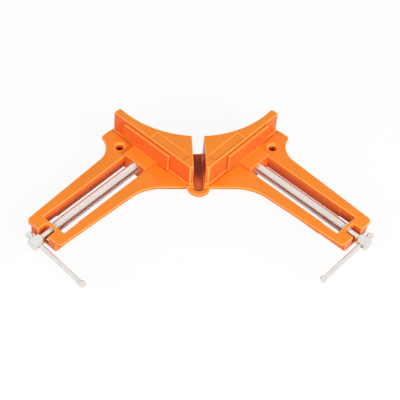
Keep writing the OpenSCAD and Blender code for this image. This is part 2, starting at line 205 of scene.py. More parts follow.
def powder_coat(name, top, wall_shade, shade):
    """Glossy orange coat: one colour on the tops, and a darker, redder one on the walls as painted shade."""
    material, tree, shader, place = new_material(name)
    normal = add_node(tree, "ShaderNodeNewGeometry").outputs["Normal"]
    split = add_node(tree, "ShaderNodeSeparateXYZ")
    tree.links.new(normal, split.inputs["Vector"])
    # Painted shade: the less a face points up, the more it takes the darker, redder wall colour.
    lit_share = remap(tree, split.outputs["Z"], 0.1, 0.95)
    base_with_painted_shade = mix_colour(tree, lit_share, wall_shade, top)
    cloud = remap(tree, noise(tree, place, 45.0), 0.35, 0.75, 0.0, 0.35)
    colour = mix_colour(tree, cloud, base_with_painted_shade, shade)
    tree.links.new(colour, shader.inputs["Base Color"])
    rough = remap(tree, noise(tree, place, 160.0, 3.0), 0.3, 0.7, 0.10, 0.16)
    tree.links.new(rough, shader.inputs["Roughness"])
    shader.inputs["IOR"].default_value = COAT_IOR
    bump(tree, shader, noise(tree, place, 700.0, 1.0), 0.00012, 0.35)
    return material


COAT_IOR = 1.3
# Tops and walls; the walls' darker, redder colour is painted shade.
ORANGE_TOP = (0.88, 0.242, 0.018)
ORANGE_WALL_PAINTED_SHADE = (0.79, 0.124, 0.022)
ORANGE_SHADE = (0.82, 0.180, 0.016)
# The gap's darker colours are painted shade.
GAP_FLOOR_PAINTED_SHADE = (0.62, 0.110, 0.018)
GAP_WALL_PAINTED_SHADE = (0.56, 0.078, 0.016)
# Edge strips: paler, partly for the thin coat and partly as painted highlight.
EDGE_TOP_THIN_AND_HIGHLIGHT = (0.96, 0.380, 0.080)
EDGE_WALL_THIN_AND_HIGHLIGHT = (0.98, 0.300, 0.060)
orange = powder_coat("orange_powder_coat", ORANGE_TOP, ORANGE_WALL_PAINTED_SHADE, ORANGE_SHADE)
orange_thin_edge_and_highlight = powder_coat("orange_coat_thin_and_painted_highlight_on_edges", EDGE_TOP_THIN_AND_HIGHLIGHT, EDGE_WALL_THIN_AND_HIGHLIGHT, ORANGE_TOP)
orange_gap_shade = powder_coat("orange_coat_painted_shade_in_the_gap", GAP_FLOOR_PAINTED_SHADE, GAP_WALL_PAINTED_SHADE, GAP_WALL_PAINTED_SHADE)
print("coats:", orange.name, orange_thin_edge_and_highlight.name, orange_gap_shade.name)

# %% [markdown]
# ## Bright steel and zinc
# Heads, bars and necks are turned steel with a bright plating, and the small hardware is
# plain zinc. All are metals, so their colour is the colour of their reflections. Fine noise in
# the roughness stands for the marks of turning and handling. The thread has two metals of its
# own: its crests are rubbed bright by the jaw, and its root gets a darker, rougher metal,
# which is painted shade in the root.

# %% Make the metals


def plated_metal(name, colour, stain, rough_low, rough_high):
    """A plated metal with faint stains and uneven polish."""
    material, tree, shader, place = new_material(name)
    shader.inputs["Metallic"].default_value = 1.0
    patches = remap(tree, noise(tree, place, 90.0, 3.0), 0.45, 0.75, 0.0, 0.6)
    tree.links.new(mix_colour(tree, patches, colour, stain), shader.inputs["Base Color"])
    polish = remap(tree, noise(tree, place, 420.0, 4.0), 0.3, 0.7, rough_low, rough_high)
    tree.links.new(polish, shader.inputs["Roughness"])
    bump(tree, shader, noise(tree, place, 2600.0, 2.0), 0.00003, 0.25)
    return material


steel = plated_metal("bright_plated_steel", (0.80, 0.79, 0.76), (0.70, 0.69, 0.65), 0.14, 0.24)
cut_steel = plated_metal("cut_thread_steel", (0.96, 0.95, 0.92), (0.91, 0.89, 0.85), 0.22, 0.28)
# Painted shade: the thread's root gets a darker metal than its crests.
root_steel_painted_shade = plated_metal("thread_root_painted_shade", (0.80, 0.77, 0.72), (0.70, 0.66, 0.61), 0.34, 0.40)
zinc = plated_metal("plain_zinc_plate", (0.70, 0.71, 0.71), (0.58, 0.59, 0.60), 0.26, 0.38)
print("metals:", steel.name, cut_steel.name, root_steel_painted_shade.name, zinc.name)

# %% [markdown]
# ## Soft edges on the castings
# A casting has no sharp corner: the coat rounds over each edge, and that edge catches the
# light as a thin bright line. A copy of the solid is merged into clean faces, and a Bevel
# modifier rounds its edges. The rounded strips get a paler coat of their own, partly because
# the coat pulls thin there and partly as painted highlight. One width for all edges would
# fold over itself on narrow faces, so each edge first gets the share of the width that its
# faces have room for. At the end each flat face gets its own direction at all its corners,
# which keeps it from looking dented.

# %% Copy a solid as clean faces
SLIVER = 0.12 * MM
FLAT_ANGLE = math.radians(0.4)


def merged_copy(node, name):
    """A new object with a copy of a solid's mesh, its loose triangles merged into faces."""
    mesh = bpy.data.meshes.new(name)
    work = bmesh.new()
    work.from_mesh(frame["nodes"][node].data)
    bmesh.ops.remove_doubles(work, verts=work.verts, dist=SLIVER)
    bmesh.ops.dissolve_degenerate(work, dist=SLIVER / 4.0, edges=work.edges)
    bmesh.ops.dissolve_limit(work, angle_limit=FLAT_ANGLE, verts=work.verts, edges=work.edges)
    work.to_mesh(mesh)
    work.free()
    mesh.materials.clear()
    piece = bpy.data.objects.new(name, mesh)
    bpy.context.scene.collection.objects.link(piece)
    return piece


def bake_modifiers(piece):
    """Turns a piece with modifiers into a plain mesh, under the same name."""
    bpy.context.view_layer.update()
    graph = bpy.context.evaluated_depsgraph_get()
    plain = bpy.data.meshes.new_from_object(piece.evaluated_get(graph), depsgraph=graph)
    piece.modifiers.clear()
    piece.data = plain
    plain.name = piece.name
    return piece


# %% Find how much room each edge has
SHARP_ANGLE = math.radians(32.0)
MOST_CROSSINGS = 8
ROOM_SHARE = 0.42
SMALL_TURN = math.radians(40.0)


def is_sharp(edge):
    """True for an edge at which the surface turns a corner."""
    return len(edge.link_faces) == 2 and abs(edge.calc_face_angle(0.0)) > SHARP_ANGLE


def crossing(face, skip, start, along, inward):
    """The nearest edge of a face straight inward from a point, and its distance."""
    best = None
    reach = math.inf
    for loop in face.loops:
        if loop.edge is skip:
            continue
        first = loop.vert.co - start
        second = loop.link_loop_next.vert.co - start
        first_along = first.dot(along)
        second_along = second.dot(along)
        if first_along * second_along > 0.0 or first_along == second_along:
            continue
        share = first_along / (first_along - second_along)
        distance = first.lerp(second, share).dot(inward)
        if 1e-7 < distance < reach:
            best = loop.edge
            reach = distance
    return best, reach


def room_across(edge, loop, limit):
    """Distance over the surface from an edge's middle to the next corner, up to a limit."""
    face = loop.face
    along = (loop.link_loop_next.vert.co - loop.vert.co).normalized()
    inward = face.normal.cross(along)
    point = (edge.verts[0].co + edge.verts[1].co) / 2.0
    total = 0.0
    for _ in range(MOST_CROSSINGS):
        next_edge, distance = crossing(face, edge, point, along, inward)
        if next_edge is None or total + distance > limit:
            return limit
        total += distance
        if is_sharp(next_edge):
            return total
        point = point + inward * distance
        face = [other for other in next_edge.link_faces if other is not face][0]
        edge = next_edge
        inward = (inward - face.normal * inward.dot(face.normal)).normalized()
        along = inward.cross(face.normal)
    return limit


def goes_on(vertex, pair):
    """True where two edges follow each other with only a small turn."""
    ways = [(edge.other_vert(vertex).co - vertex.co).normalized() for edge in pair]
    return ways[0].dot(ways[1]) < -math.cos(SMALL_TURN)


def even_out(sharp, weight):
    """Gives edges that follow each other the least share along their line."""
    waiting = list(sharp)
    while waiting:
        edge = waiting.pop()
        for vertex in edge.verts:
            for other in vertex.link_edges:
                if other is edge or other[weight] <= edge[weight]:
                    continue
                if goes_on(vertex, (edge, other)):
                    other[weight] = edge[weight]
                    waiting.append(other)


def weigh_edges(mesh, width):
    """Gives each corner the share of the full rounding that its two faces have room for."""
    work = bmesh.new()
    work.from_mesh(mesh)
    work.normal_update()
    weight = work.edges.layers.float.new("bevel_weight_edge")
    limit = width / ROOM_SHARE
    sharp = [edge for edge in work.edges if is_sharp(edge)]
    for edge in sharp:
        room = min(room_across(edge, loop, limit) for loop in edge.link_loops)
        edge[weight] = room / limit
    even_out(sharp, weight)
    work.to_mesh(mesh)
    work.free()
    return len(sharp)


# %% Round the edges of a copy
TRIES = 6
MOST_SHIFT = 0.45
EASED = 0.4
NEARLY_FLAT = math.radians(0.3)


def bevelled(piece, width, segments, edge_slot):
    """The mesh of a piece with its corners rounded by their shares."""
    bevel = piece.modifiers.new("soft edges", "BEVEL")
    bevel.width = width
    bevel.segments = segments
    bevel.limit_method = "WEIGHT"
    bevel.use_clamp_overlap = False
    bevel.loop_slide = False
    # The rounded strips take the paler edge coat, which is partly painted highlight.
    bevel.material = edge_slot
    bpy.context.view_layer.update()
    graph = bpy.context.evaluated_depsgraph_get()
    mesh = bpy.data.meshes.new_from_object(piece.evaluated_get(graph), depsgraph=graph)
    piece.modifiers.clear()
    return mesh


def ease_corners(mesh, trial, width):
    """Lessens the rounding wherever a trial left the surface, and counts those corners."""
    work = bmesh.new()
    work.from_mesh(mesh)
    weight = work.edges.layers.float["bevel_weight_edge"]
    surface = BVHTree.FromBMesh(work)
    corners = KDTree(len(work.verts))
    for vertex in work.verts:
        corners.insert(vertex.co, vertex.index)
    corners.balance()
    work.verts.ensure_lookup_table()
    strayed = set()
    for vertex in trial.vertices:
        near, _, _, shift = surface.find_nearest(vertex.co)
        if shift > MOST_SHIFT * width:
            strayed.add(corners.find(near)[1])
    for index in strayed:
        for edge in work.verts[index].link_edges:
            edge[weight] *= EASED
    work.to_mesh(mesh)
    work.free()
    return len(strayed)


def bends(face, edge_slot):
    """True for a facet of a curved surface, which turns a little to its neighbour."""
    for edge in face.edges:
        strips = [other for other in edge.link_faces if other.material_index == edge_slot]
        if not strips and NEARLY_FLAT < edge.calc_face_angle(0.0) < SHARP_ANGLE:
            return True
    return False


def keep_flats(mesh, edge_slot):
    """Gives each flat face its own direction at all its corners, so no streak crosses it."""
    work = bmesh.new()
    work.from_mesh(mesh)
    work.normal_update()
    normals = [corner.vector.copy() for corner in mesh.corner_normals]
    for face in work.faces:
        if face.material_index == edge_slot or bends(face, edge_slot):
            continue
        for index in mesh.polygons[face.index].loop_indices:
            normals[index] = face.normal.copy()
    work.free()
    mesh.normals_split_custom_set(normals)


def round_edges(piece, materials, width, segments=3):
    """Rounds a copy's edges, with the first material on faces and the last on edges."""
    name = piece.name
    for material in materials:
        piece.data.materials.append(material)
    corners = weigh_edges(piece.data, width)
    for _ in range(TRIES):
        trial = bevelled(piece, width, segments, len(materials) - 1)
        strayed = ease_corners(piece.data, trial, width)
        print(name, "corners eased:", strayed)
        if strayed == 0:
            break
    piece.data = trial
    trial.name = name
    for face in piece.data.polygons:
        face.use_smooth = True
    piece.data.set_sharp_from_angle(angle=math.radians(50.0))
    flat = piece.modifiers.new("flat faces stay flat", "WEIGHTED_NORMAL")
    flat.keep_sharp = True
    bake_modifiers(piece)
    keep_flats(piece.data, len(materials) - 1)
    print(name, "corners:", corners, "strayed:", strayed, "faces:", len(piece.data.polygons))


# %% Round the casting
CAST_EDGE = 0.8 * MM
BACK_RADIUS = 84.0 * MM
BACK_MIDDLE = Vector((0.0, 78.04 * MM, 0.0))
ON_BACK = 0.06 * MM


def to_back_middle(place):
    """The level way from a place to the middle of the curved back's circle."""
    way = BACK_MIDDLE - place
    way.z = 0.0
    return way


def flush_back(piece):
    """Grinds off what stands proud of the curved back, and counts its points."""
    proud = 0
    for vertex in piece.data.vertices:
        way = to_back_middle(vertex.co)
        if way.length < BACK_RADIUS:
            vertex.co += way * (1.0 - BACK_RADIUS / way.length)
            proud += 1
    return proud


def smooth_back(mesh):
    """Turns the curved back's corners to the middle of its circle, so it shades as one curve."""
    normals = [corner.vector.copy() for corner in mesh.corner_normals]
    for face in mesh.polygons:
        ways = [to_back_middle(mesh.vertices[index].co) for index in face.vertices]
        if all(abs(way.length - BACK_RADIUS) < ON_BACK for way in ways):
            for index, way in zip(face.loop_indices, ways):
                normals[index] = way.normalized()
    mesh.normals_split_custom_set(normals)


body = merged_copy("body_casting", "cast_body")
print("points ground flush:", flush_back(body))
round_edges(body, (orange, orange_thin_edge_and_highlight), CAST_EDGE)
smooth_back(body.data)
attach(body, "body")
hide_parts("body_casting")

# %% [markdown]
# ## The gap between the fences
# The floor and walls of the narrow gap at the corner get a darker coat of their own, which is
# painted shade, as little light reaches between the fences. Those faces are found by their place.

# %% Paint shade into the gap
GAP_HALF = 5.3 * MM
GAP_FRONT = -50.8 * MM
GAP_FLOOR_BELOW = 15.5 * MM


def paint_gap_shade(piece, material):
    """Puts the darker coat, painted shade, on the floor and the walls of the gap between the fences."""
    piece.data.materials.append(material)
    slot = len(piece.data.materials) - 1
    for face in piece.data.polygons:
        if face.material_index != 0 or abs(face.center.x) > GAP_HALF or face.center.y < GAP_FRONT:
            continue
        is_wall = abs(face.normal.z) < 0.5
        is_floor = face.normal.z > 0.5 and face.center.z < GAP_FLOOR_BELOW
        if is_wall or is_floor:
            face.material_index = slot
    return sum(face.material_index == slot for face in piece.data.polygons)


# Counts the faces that get the painted shade of the gap.
print("dull faces:", paint_gap_shade(body, orange_gap_shade))

# %% [markdown]
# ## The jaws
# Each jaw is a smaller casting with the same coat, and its edges are crisper.

# %% Round the jaws
JAW_EDGE = 0.5 * MM
for side in SIDES:
    jaw = merged_copy(f"{side}_jaw", f"{side}_cast_jaw")
    round_edges(jaw, (orange, orange_thin_edge_and_highlight), JAW_EDGE)
    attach(jaw, f"{side}_jaw")
    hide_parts(f"{side}_jaw")

# %% [markdown]
# ## Cutting the thread
# The thread is the part of a screw that the eye knows, and it follows a rule: its radius
# rises and falls once for each lead along the line, and that wave turns with the angle round
# it. Geometry Nodes roll a flat grid into a tube and set each point's radius by that rule.
# The tree has its sizes as named inputs, so one tree cuts both screws. Faces near the root
# get the darker root metal, which is painted shade and draws the thread's fine dark line.

# %% Build the thread's node tree


def math_node(tree, operation, first, second=None, third=None):
    """A math node on sockets or plain numbers."""
    node = add_node(tree, "ShaderNodeMath", operation=operation)
    for socket, value in zip(node.inputs, (first, second, third)):
        if value is None:
            continue
        if isinstance(value, (int, float)):
            socket.default_value = value
        else:
            tree.links.new(value, socket)
    return node.outputs[0]


THREAD_INPUTS = (
    ("Length", "NodeSocketFloat", 0.1),
    ("Crest Radius", "NodeSocketFloat", 0.005),
    ("Root Radius", "NodeSocketFloat", 0.004),
    ("Lead", "NodeSocketFloat", 0.0015),
    ("Rings", "NodeSocketInt", 400),
    ("Sides", "NodeSocketInt", 40),
    ("Metal", "NodeSocketMaterial", None),
    ("Root Metal", "NodeSocketMaterial", None),
)


def thread_tree():
    """Geometry Nodes tree that rolls a grid into a threaded rod along +X."""
    tree = bpy.data.node_groups.new("cut_thread", "GeometryNodeTree")
    for name, kind, start in THREAD_INPUTS:
        socket = tree.interface.new_socket(name, in_out="INPUT", socket_type=kind)
        if start is not None:
            socket.default_value = start
    tree.interface.new_socket("Geometry", in_out="OUTPUT", socket_type="NodeSocketGeometry")
    given = add_node(tree, "NodeGroupInput").outputs
    # One extra ring past each end is drawn in to the line, which closes the rod
    step = math_node(tree, "DIVIDE", given["Length"], given["Rings"])
    span = math_node(tree, "MULTIPLY_ADD", step, 2.0, given["Length"])
    ring_count = math_node(tree, "ADD", given["Rings"], 3)
    side_count = math_node(tree, "ADD", given["Sides"], 1)
    grid = add_node(tree, "GeometryNodeMeshGrid")
    grid.inputs["Size Y"].default_value = 1.0
    tree.links.new(span, grid.inputs["Size X"])
    tree.links.new(ring_count, grid.inputs["Vertices X"])
    tree.links.new(side_count, grid.inputs["Vertices Y"])
    flat = add_node(tree, "ShaderNodeSeparateXYZ")
    tree.links.new(add_node(tree, "GeometryNodeInputPosition").outputs[0], flat.inputs[0])
    half = math_node(tree, "MULTIPLY", given["Length"], 0.5)
    low = math_node(tree, "MULTIPLY", given["Length"], -0.5)
    along = math_node(tree, "MINIMUM", math_node(tree, "MAXIMUM", flat.outputs["X"], low), half)
    angle = math_node(tree, "MULTIPLY", flat.outputs["Y"], 2.0 * math.pi)
    turn = math_node(tree, "SUBTRACT", math_node(tree, "DIVIDE", along, given["Lead"]), flat.outputs["Y"])
    wave = math_node(tree, "MULTIPLY", math_node(tree, "PINGPONG", turn, 0.5), 2.0)
    # The flanks are steep and the crest and root are short flats
    flank = math_node(tree, "MULTIPLY_ADD", math_node(tree, "SUBTRACT", wave, 0.5), 1.35, 0.5)
    flank = math_node(tree, "MAXIMUM", math_node(tree, "MINIMUM", flank, 1.0), 0.0)
    depth = math_node(tree, "SUBTRACT", given["Crest Radius"], given["Root Radius"])
    radius = math_node(tree, "MULTIPLY_ADD", flank, depth, given["Root Radius"])
    reach = math_node(tree, "MULTIPLY_ADD", step, 0.5, half)
    inside = math_node(tree, "LESS_THAN", math_node(tree, "ABSOLUTE", flat.outputs["X"]), reach)
    radius = math_node(tree, "MULTIPLY", radius, inside)
    rolled = add_node(tree, "ShaderNodeCombineXYZ")
    tree.links.new(along, rolled.inputs["X"])
    tree.links.new(math_node(tree, "MULTIPLY", radius, math_node(tree, "COSINE", angle)), rolled.inputs["Y"])
    tree.links.new(math_node(tree, "MULTIPLY", radius, math_node(tree, "SINE", angle)), rolled.inputs["Z"])
    place = add_node(tree, "GeometryNodeSetPosition")
    tree.links.new(grid.outputs["Mesh"], place.inputs["Geometry"])
    tree.links.new(rolled.outputs[0], place.inputs["Position"])
    weld = add_node(tree, "GeometryNodeMergeByDistance")
    weld.inputs["Distance"].default_value = 1e-6
    tree.links.new(place.outputs[0], weld.inputs["Geometry"])
    real = add_node(tree, "GeometryNodeRealizeInstances")
    tree.links.new(weld.outputs[0], real.inputs[0])
    coat = add_node(tree, "GeometryNodeSetMaterial")
    tree.links.new(real.outputs[0], coat.inputs["Geometry"])
    tree.links.new(given["Metal"], coat.inputs["Material"])
    # Painted shade in the root: faces near it get the darker root metal; the places are read again, now on the
    # rolled rod
    out_y = math_node(tree, "MULTIPLY", flat.outputs["Y"], flat.outputs["Y"])
    out = math_node(tree, "SQRT", math_node(tree, "MULTIPLY_ADD", flat.outputs["Z"], flat.outputs["Z"], out_y))
    in_root = math_node(tree, "LESS_THAN", out, math_node(tree, "MULTIPLY_ADD", depth, 0.35, given["Root Radius"]))
    oil = add_node(tree, "GeometryNodeSetMaterial")
    tree.links.new(coat.outputs[0], oil.inputs["Geometry"])
    tree.links.new(in_root, oil.inputs["Selection"])
    tree.links.new(given["Root Metal"], oil.inputs["Material"])
    tree.links.new(oil.outputs[0], add_node(tree, "NodeGroupOutput").inputs[0])
    return tree


cut_thread = thread_tree()
print("thread tree nodes:", len(cut_thread.nodes))

# %% [markdown]
# ## Fitting the thread to the solid screw
# The solid screw is a plain rod at the thread's full diameter, with the neck, the ring's groove
# and the holes for the bar and the pin. A copy keeps all of that, its thick stretch is drawn
# in to the thread's root, and the cut thread is joined over it.

# %% Thread both screws
THREAD_DEPTH = 0.61
RINGS_PER_LEAD = 8
THREAD_SIDES = 48


def modifier_input(tree, name):
    """The identifier of a tree's named input."""
    for item in tree.interface.items_tree:
        if item.item_type == "SOCKET" and item.in_out == "INPUT" and item.name == name:
            return item.identifier
    raise KeyError(name)


def screw_core(side):
    """A copy of the solid screw with its thread stretch drawn in to the root."""
    point, outward = screw_line(side)
    core = merged_copy(f"{side}_lead_screw", f"{side}_threaded_screw")
    for metal in (steel, cut_steel, root_steel_painted_shade):
        core.data.materials.append(metal)
    places = [(vertex, (vertex.co - point).dot(outward)) for vertex in core.data.vertices]
    offsets = [(vertex, s, vertex.co - point - outward * s) for vertex, s in places]
    crest = max(offset.length for _, _, offset in offsets)
    thick = [(vertex, s, offset) for vertex, s, offset in offsets if offset.length > 0.96 * crest]
    start = min(s for _, s, _ in thick)
    end = max(s for _, s, _ in thick)
    root = crest - THREAD_DEPTH * lead
    for vertex, s, offset in thick:
        vertex.co = point + outward * s + offset * ((root - 0.05 * MM) / crest)
    return core, crest, root, start, end


def thread_piece(side, crest, root, start, end):
    """The cut thread of one screw, as a plain mesh in place."""
    piece = bpy.data.objects.new(f"{side}_thread", bpy.data.meshes.new(f"{side}_thread"))
    bpy.context.scene.collection.objects.link(piece)
    cutter = piece.modifiers.new("thread", "NODES")
    cutter.node_group = cut_thread
    length = end - start
    sizes = {
        "Length": length,
        "Crest Radius": crest,
        "Root Radius": root,
        "Lead": lead,
        "Rings": int(length / lead * RINGS_PER_LEAD),
        "Sides": THREAD_SIDES,
        "Metal": cut_steel,
        "Root Metal": root_steel_painted_shade,
    }
    for name, value in sizes.items():
        cutter[modifier_input(cut_thread, name)] = value
    bake_modifiers(piece)
    point, outward = screw_line(side)
    across = UP.cross(outward)
    turn = Matrix((outward, across, UP)).transposed().to_4x4()
    turn.translation = point + outward * (start + end) / 2.0
    piece.data.transform(turn)
    return piece


def join_into(piece, other):
    """Adds another piece's mesh to a piece that has its materials, and removes the other."""
    own_slots = {material: slot for slot, material in enumerate(piece.data.materials)}
    slots = [own_slots.get(material, 0) for material in other.data.materials]
    work = bmesh.new()
    work.from_mesh(piece.data)
    own = len(work.faces)
    work.from_mesh(other.data)
    work.faces.ensure_lookup_table()
    for face in work.faces[own:]:
        face.material_index = slots[face.material_index]
    work.to_mesh(piece.data)
    work.free()
    bpy.data.objects.remove(other)


for side in SIDES:
    screw, crest, root, start, end = screw_core(side)
    join_into(screw, thread_piece(side, crest, root, start, end))
    for face in screw.data.polygons:
        face.use_smooth = True
    screw.data.set_sharp_from_angle(angle=math.radians(40.0))
    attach(screw, f"{side}_screw")
    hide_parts(f"{side}_lead_screw")
    print(screw.name, "thread mm:", round((end - start) / MM, 1), "faces:", len(screw.data.polygons))

# %% [markdown]
# ## Turned pieces
# Heads, bars and ball ends come off a lathe: each is a profile spun about a line. A lathe
# leaves no sharp corner, so every corner of a profile is given its own small rounding first.
# The sizes are measured on the solids, and the profile is then spun with enough sides to
# look round close up.

# %% Measure and spin a profile
TURN_SIDES = 64
CORNER_STEPS = 4


def spans(node, point, axis):
    """Where a solid starts and ends along a line, and its least and greatest radius about it."""
    offsets = [vertex.co - point for vertex in frame["nodes"][node].data.vertices]
    along = [offset.dot(axis) for offset in offsets]
    radii = [(offset - axis * s).length for offset, s in zip(offsets, along)]
    return min(along), max(along), min(radii), max(radii)


def soften(corners):
    """A profile of places along a line and radii, from corners that each have a rounding."""
    profile = []
    for index, (s, r, rounding) in enumerate(corners):
        corner = Vector((s, r))
        if rounding == 0.0:
            profile.append(corner)
            continue
        before = corner + (Vector(corners[index - 1][:2]) - corner).normalized() * rounding
        after = corner + (Vector(corners[index + 1][:2]) - corner).normalized() * rounding
        for step in range(CORNER_STEPS + 1):
            share = step / CORNER_STEPS
            profile.append(before.lerp(corner, share).lerp(corner.lerp(after, share), share))
    return profile


def turned(name, profile, point, axis, material, sides=TURN_SIDES):
    """A closed piece made by spinning a profile about a line."""
    away = axis.orthogonal().normalized()
    work = bmesh.new()
    line = [work.verts.new(point + axis * s + away * r) for s, r in profile]
    edges = [work.edges.new(pair) for pair in zip(line, line[1:])]
    bmesh.ops.spin(work, geom=line + edges, cent=point, axis=axis, angle=2.0 * math.pi, steps=sides)
    bmesh.ops.remove_doubles(work, verts=work.verts, dist=1e-7)
    bmesh.ops.recalc_face_normals(work, faces=work.faces)
    mesh = bpy.data.meshes.new(name)
    work.to_mesh(mesh)
    work.free()
    mesh.materials.append(material)
    piece = bpy.data.objects.new(name, mesh)
    bpy.context.scene.collection.objects.link(piece)
    return piece


def cut_away(piece, cutters):
    """Cuts other pieces out of a piece, and removes them."""
    for cutter in cutters:
        cut = piece.modifiers.new("cut", "BOOLEAN")
        cut.object = cutter
        cut.solver = "EXACT"
    bake_modifiers(piece)
    for cutter in cutters:
        bpy.data.objects.remove(cutter)


def hand_over(piece, body, node):
    """Shades a finished piece, and lets it take the place of its solid."""
    for face in piece.data.polygons:
        face.use_smooth = True
    piece.data.set_sharp_from_angle(angle=math.radians(35.0))
    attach(piece, body)
    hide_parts(node)
    print(piece.name, "faces:", len(piece.data.polygons))


# %% Turn the heads
HEAD_EDGE = 0.7 * MM
HEAD_BACK_EDGE = 0.4 * MM
HEAD_CONE = 1.4 * MM


def turn_head(side):
    """A head with a coned inner end, a bore for the neck, and holes for the bar and the pin."""
    point, outward = screw_line(side)
    bar = bar_line(side)
    start, end, bore, outside = spans(f"{side}_screw_head", point, outward)
    neck_end = spans(f"{side}_lead_screw", point, outward)[1]
    corners = (
        (neck_end, 0.0, 0.0),
        (neck_end, bore, 0.0),
        (start, bore, 0.0),
        (start, outside - 1.0 * MM, HEAD_BACK_EDGE),
        (start + HEAD_CONE, outside, HEAD_BACK_EDGE),
        (end, outside, HEAD_EDGE),
        (end, 0.0, 0.0),
    )
    head = turned(f"{side}_turned_head", soften(corners), point, outward, steel)
    bar_radius = spans(f"{side}_tommy_bar", point, bar)[3]
    hole = bar_radius + 0.1 * MM
    reach = 2.0 * outside
    hole_profile = ((-reach, 0.0), (-reach, hole), (reach, hole), (reach, 0.0))
    pin_start, pin_end, _, _ = spans(f"{side}_head_pin", point, outward)
    pin_point = point + outward * (pin_start + pin_end) / 2.0
    pin = outward.cross(bar)
    pin_radius = (pin_end - pin_start) / 2.0
    pin_profile = ((-reach, 0.0), (-reach, pin_radius), (reach, pin_radius), (reach, 0.0))
    cut_away(head, (
        turned("bar_hole", hole_profile, point, bar, steel),
        turned("pin_hole", pin_profile, pin_point, pin, steel),
    ))
    return head


for side in SIDES:
    hand_over(turn_head(side), f"{side}_screw", f"{side}_screw_head")

# %% Turn the bars and their ball ends
BALL_STEPS = 20


def turn_bar(side):
    """A plain bar with rounded ends."""
    point, _ = screw_line(side)
    bar = bar_line(side)
    start, end, _, radius = spans(f"{side}_tommy_bar", point, bar)
    rounding = 0.3 * MM
    corners = ((start, 0.0, 0.0), (start, radius, rounding), (end, radius, rounding), (end, 0.0, 0.0))
    return turned(f"{side}_turned_bar", soften(corners), point, bar, steel)


def turn_ball(side, place):
    """A ball with a socket for the bar's end."""
    point, _ = screw_line(side)
    way = bar_line(side) if place == "upper" else -bar_line(side)
    _, end, _, radius = spans(f"{side}_{place}_knob", point, way)
    bar_radius = spans(f"{side}_tommy_bar", point, way)[3]
    middle = end - radius
    first = math.asin(bar_radius / radius)
    profile = [(middle, 0.0), (middle, bar_radius)]
    for step in range(BALL_STEPS + 1):
        angle = first + (math.pi - first) * step / BALL_STEPS
        profile.append((middle - radius * math.cos(angle), radius * math.sin(angle)))
    return turned(f"{side}_{place}_ball", profile, point, way, steel)


for side in SIDES:
    hand_over(turn_bar(side), f"{side}_bar", f"{side}_tommy_bar")
    for place in ("upper", "lower"):
        hand_over(turn_ball(side, place), f"{side}_bar", f"{side}_{place}_knob")

# %% [markdown]
# ## Keeper screws
# Each keeper is held by a pair of small screws, seen only from below. One screw is turned and
# gets its cross recess cut, and Geometry Nodes then set a copy at each place on the line
# between them, so the pair stays one piece with the spacing as a named input.

# %% Build the tree that sets screws in a row
ROW_INPUTS = (
    ("Screw", "NodeSocketGeometry", None),
    ("Spacing", "NodeSocketFloat", 0.018),
    ("Count", "NodeSocketInt", 2),
    ("Metal", "NodeSocketMaterial", None),
)


def row_tree():
    """Geometry Nodes tree that sets copies of a screw in a row along +X."""
    tree = bpy.data.node_groups.new("screws_in_a_row", "GeometryNodeTree")
    for name, kind, start in ROW_INPUTS:
        socket = tree.interface.new_socket(name, in_out="INPUT", socket_type=kind)
        if start is not None:
            socket.default_value = start
    tree.interface.new_socket("Geometry", in_out="OUTPUT", socket_type="NodeSocketGeometry")
    given = add_node(tree, "NodeGroupInput").outputs
    gaps = math_node(tree, "SUBTRACT", given["Count"], 1)
    first = math_node(tree, "MULTIPLY", math_node(tree, "MULTIPLY", given["Spacing"], gaps), -0.5)
    start = add_node(tree, "ShaderNodeCombineXYZ")
    tree.links.new(first, start.inputs["X"])
    step = add_node(tree, "ShaderNodeCombineXYZ")
    tree.links.new(given["Spacing"], step.inputs["X"])
    row = add_node(tree, "GeometryNodeMeshLine")
    tree.links.new(given["Count"], row.inputs["Count"])
    tree.links.new(start.outputs[0], row.inputs["Start Location"])
    tree.links.new(step.outputs[0], row.inputs["Offset"])
    copies = add_node(tree, "GeometryNodeInstanceOnPoints")
    tree.links.new(row.outputs[0], copies.inputs["Points"])
    tree.links.new(given["Screw"], copies.inputs["Instance"])
    real = add_node(tree, "GeometryNodeRealizeInstances")
    tree.links.new(copies.outputs[0], real.inputs[0])
    coat = add_node(tree, "GeometryNodeSetMaterial")
    tree.links.new(real.outputs[0], coat.inputs["Geometry"])
    tree.links.new(given["Metal"], coat.inputs["Material"])
    tree.links.new(coat.outputs[0], add_node(tree, "NodeGroupOutput").inputs[0])
    return tree


screw_row = row_tree()
print("row tree nodes:", len(screw_row.nodes))

# %% Turn the keeper screws and set them
RECESS_LENGTH = 2.4 * MM
RECESS_WIDTH = 0.6 * MM
RECESS_DEPTH = 0.5 * MM
HEAD_HEIGHT = 0.9 * MM
SHANK_SHARE = 2.98 / 4.6


def recess_bar(turn):
    """One bar of the cross recess, standing at the origin."""
    mesh = bpy.data.meshes.new("recess")
    work = bmesh.new()
    bmesh.ops.create_cube(work, size=1.0)
    work.to_mesh(mesh)
    work.free()
    size = Matrix.Diagonal((RECESS_LENGTH, RECESS_WIDTH, 2.0 * RECESS_DEPTH, 1.0))
    mesh.transform(Matrix.Rotation(turn, 4, "Z") @ size)
    bar = bpy.data.objects.new("recess", mesh)
    bpy.context.scene.collection.objects.link(bar)
    return bar


